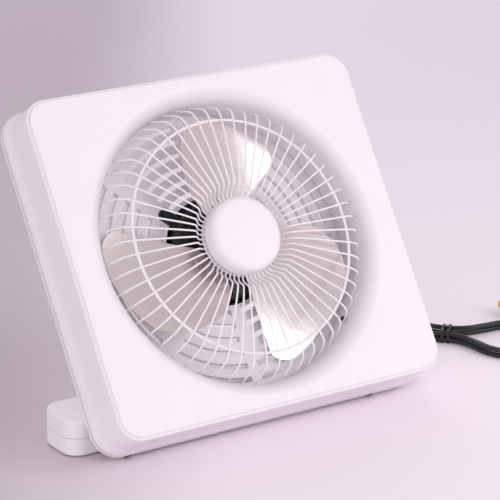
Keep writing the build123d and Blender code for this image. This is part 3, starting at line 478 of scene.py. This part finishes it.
# %% The guard
GUARD_RING_R = 111.3 * MM
GUARD_RING_D = 2.8 * MM
GUARD_RING_W = 6.65 * MM
GUARD_DISC_R = 33.0 * MM
GUARD_DISC_W = -1.0 * MM
GUARD_DISC_T = 1.2 * MM
RING_STEPS = 2 * WIRES
guard_mesh = bmesh.new()
guard_mesh.from_mesh(wire_mesh)
one_wire = guard_mesh.verts[:] + guard_mesh.edges[:] + guard_mesh.faces[:]
first_turn = Matrix.Rotation(WIRE_PHASE, 3, "Z")
bmesh.ops.rotate(guard_mesh, verts=guard_mesh.verts[:], cent=(0, 0, 0), matrix=first_turn)
spin_round(guard_mesh, one_wire, WIRES - 1, True, 2 * math.pi * (WIRES - 1) / WIRES)
ring_section = bmesh.ops.create_circle(
    guard_mesh,
    segments=10,
    radius=GUARD_RING_D / 2,
    matrix=Matrix.Translation((GUARD_RING_R, 0, GUARD_RING_W)) @ Matrix.Rotation(math.pi / 2, 4, "X"),
)["verts"]
ring_edges = [e for e in guard_mesh.edges if all(v in ring_section for v in e.verts)]
spin_round(guard_mesh, ring_section + ring_edges, RING_STEPS)
bmesh.ops.create_cone(
    guard_mesh,
    cap_ends=True,
    segments=64,
    radius1=GUARD_DISC_R,
    radius2=GUARD_DISC_R,
    depth=GUARD_DISC_T,
    matrix=Matrix.Translation((0, 0, GUARD_DISC_W)),
)
bmesh.ops.recalc_face_normals(guard_mesh, faces=guard_mesh.faces[:])
guard = finished(guard_mesh, "wire_guard", "head", powder_coat, head_place)
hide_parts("guard")

# %% [markdown]
# The hub cap is a plain round moulding with a generous radius round its front. A turned shape is
# quickest to make as half of its section, spun round the axis. The section is open at the back,
# where the wires go in.

# %% The hub cap
CAP_R = 36.0 * MM
CAP_FRONT = 16.5 * MM
CAP_BACK = 0.0
CAP_ROUND = 6.0 * MM
CAP_WALL = 2.2 * MM
ROUND_STEPS = 8
CAP_STEPS = 96
cap_mesh = bmesh.new()
rounding = [math.pi / 2 * k / ROUND_STEPS for k in range(ROUND_STEPS + 1)]
cap_section = [(0.0, CAP_FRONT)]
cap_section += [
    (CAP_R - CAP_ROUND * (1 - math.sin(a)), CAP_FRONT - CAP_ROUND * (1 - math.cos(a))) for a in rounding
]
cap_section += [
    (CAP_R, CAP_BACK),
    (CAP_R - CAP_WALL, CAP_BACK),
    (CAP_R - CAP_WALL, CAP_FRONT / 2),
    (0.0, CAP_FRONT / 2),
]
corners = [cap_mesh.verts.new((r, 0, w)) for r, w in cap_section]
sides = [cap_mesh.edges.new(pair) for pair in zip(corners, corners[1:])]
spin_round(cap_mesh, corners + sides, CAP_STEPS)
bmesh.ops.remove_doubles(cap_mesh, verts=cap_mesh.verts[:], dist=0.01 * MM)
bmesh.ops.recalc_face_normals(cap_mesh, faces=cap_mesh.faces[:])
cap = finished(cap_mesh, "round_hub_cap", "head", moulded_abs, head_place, 25.0)
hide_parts("hub_cap")

# %% [markdown]
# A small black screw shows inside the opening, low on the right. It holds the front cover's throat.
# It is a turned pan head with its edge rounded and a sunk middle, small enough that the CAD leaves
# it out.

# %% The screw in the opening
SCREW_R = 2.4 * MM
SCREW_T = 2.2 * MM
SCREW_EDGE = 0.8 * MM
RECESS_RIM = 0.7 * MM
RECESS_DEPTH = 0.5 * MM
SCREW_ANGLE = math.radians(316.0)
SCREW_PLACE_R = 132.0 * MM
SCREW_W = -21.0 * MM
screw_mesh = bmesh.new()
bmesh.ops.create_cone(
    screw_mesh, cap_ends=True, segments=24, radius1=SCREW_R, radius2=SCREW_R, depth=SCREW_T
)
top_edges = [e for e in screw_mesh.edges if all(v.co.z > 0 for v in e.verts)]
bmesh.ops.bevel(
    screw_mesh,
    geom=top_edges,
    offset=SCREW_EDGE,
    segments=3,
    affect="EDGES",
    profile=0.5,
    material=-1,
    clamp_overlap=True,
)
top = [f for f in screw_mesh.faces if f.normal.z > 0.99]
bmesh.ops.inset_region(screw_mesh, faces=top, thickness=RECESS_RIM, depth=-RECESS_DEPTH)
screw_x = SCREW_PLACE_R * math.cos(SCREW_ANGLE)
screw_y = SCREW_PLACE_R * math.sin(SCREW_ANGLE)
screw_place = head_place @ Matrix.Translation((screw_x, screw_y, SCREW_W))
finished(screw_mesh, "throat_screw", "head", black_phenolic, screw_place)

# %% [markdown]
# The floor is one wide pale sheet that runs back without a join. The photograph's is darker at the
# left and in the distance, as a sheet lit from the right is. One ramp across the view and one away
# from it give that, each between two distances from the world's middle, in metres.

# %% Floor
FLOOR_HALF = 12.0
RAMP_ACROSS = (-0.24, 0.03)
RAMP_AWAY = (-0.1, 1.6)
floor_mesh = bmesh.new()
bmesh.ops.create_grid(floor_mesh, x_segments=1, y_segments=1, size=FLOOR_HALF)
floor_data = bpy.data.meshes.new("floor")
floor_mesh.to_mesh(floor_data)
floor_mesh.free()
floor = bpy.data.objects.new("floor", floor_data)
bpy.context.scene.collection.objects.link(floor)
paper = new_material("pale_background_paper")
spot = add_node(paper, "ShaderNodeTexCoord").outputs["Object"]
view_heading = math.atan2(camera_right.y, camera_right.x)
turned = add_node(paper, "ShaderNodeMapping", {"Vector": spot, "Rotation": (0, 0, -view_heading)})
split = add_node(paper, "ShaderNodeSeparateXYZ", {"Vector": turned.outputs["Vector"]})


def ramp(value, span):
    inputs = {"Value": value, "From Min": span[0], "From Max": span[1]}
    return add_node(paper, "ShaderNodeMapRange", inputs, interpolation_type="SMOOTHSTEP").outputs["Result"]


def blend(factor, first, second):
    inputs = {"Factor": factor, "A": first, "B": second}
    return add_node(paper, "ShaderNodeMix", inputs, data_type="RGBA").outputs["Result"]


to_right = ramp(split.outputs["X"], RAMP_ACROSS)
to_back = ramp(split.outputs["Y"], RAMP_AWAY)
near = blend(to_right, srgb("#CFC4CC"), srgb("#FFF5FD"))
far = blend(to_right, srgb("#C4B8C3"), srgb("#EEE2EF"))
surface(paper, {"Base Color": blend(to_back, near, far), "Roughness": 0.9, "Specular IOR Level": 0.1})
floor_data.materials.append(paper)
print("floor, m:", tuple(round(v, 1) for v in floor.dimensions))

# %% [markdown]
# Soft studio light: an even pale surround does most of it, a wide lamp from the upper right front
# lights the face, a low one from the left keeps the sides from going grey, and a weak one behind
# parts the top edges from the backdrop. The lamps all point at the face's middle, and their powers
# are in watts.

# %% Lights
SURROUND = 0.66
world = bpy.data.worlds.new("studio")
world.use_nodes = True
world.node_tree.nodes["Background"].inputs["Color"].default_value = srgb("#FFFBFF")
world.node_tree.nodes["Background"].inputs["Strength"].default_value = SURROUND
bpy.context.scene.world = world


def soft_lamp(name, place, width, power):
    data = bpy.data.lights.new(name, "AREA")
    data.shape = "SQUARE"
    data.size = width
    data.energy = power
    lamp = bpy.data.objects.new(name, data)
    bpy.context.scene.collection.objects.link(lamp)
    lamp.location = place
    lamp.rotation_euler = (face_centre - lamp.location).to_track_quat("-Z", "Y").to_euler()


soft_lamp("key_lamp", Vector((1.5, -1.7, 1.15)), 1.4, 18.0)
soft_lamp("fill_lamp", Vector((-2.0, -1.2, 0.3)), 1.2, 17.0)
soft_lamp("back_lamp", Vector((0.9, 1.9, 1.4)), 1.4, 7.0)

# %% Update the scene
bpy.context.view_layer.update()
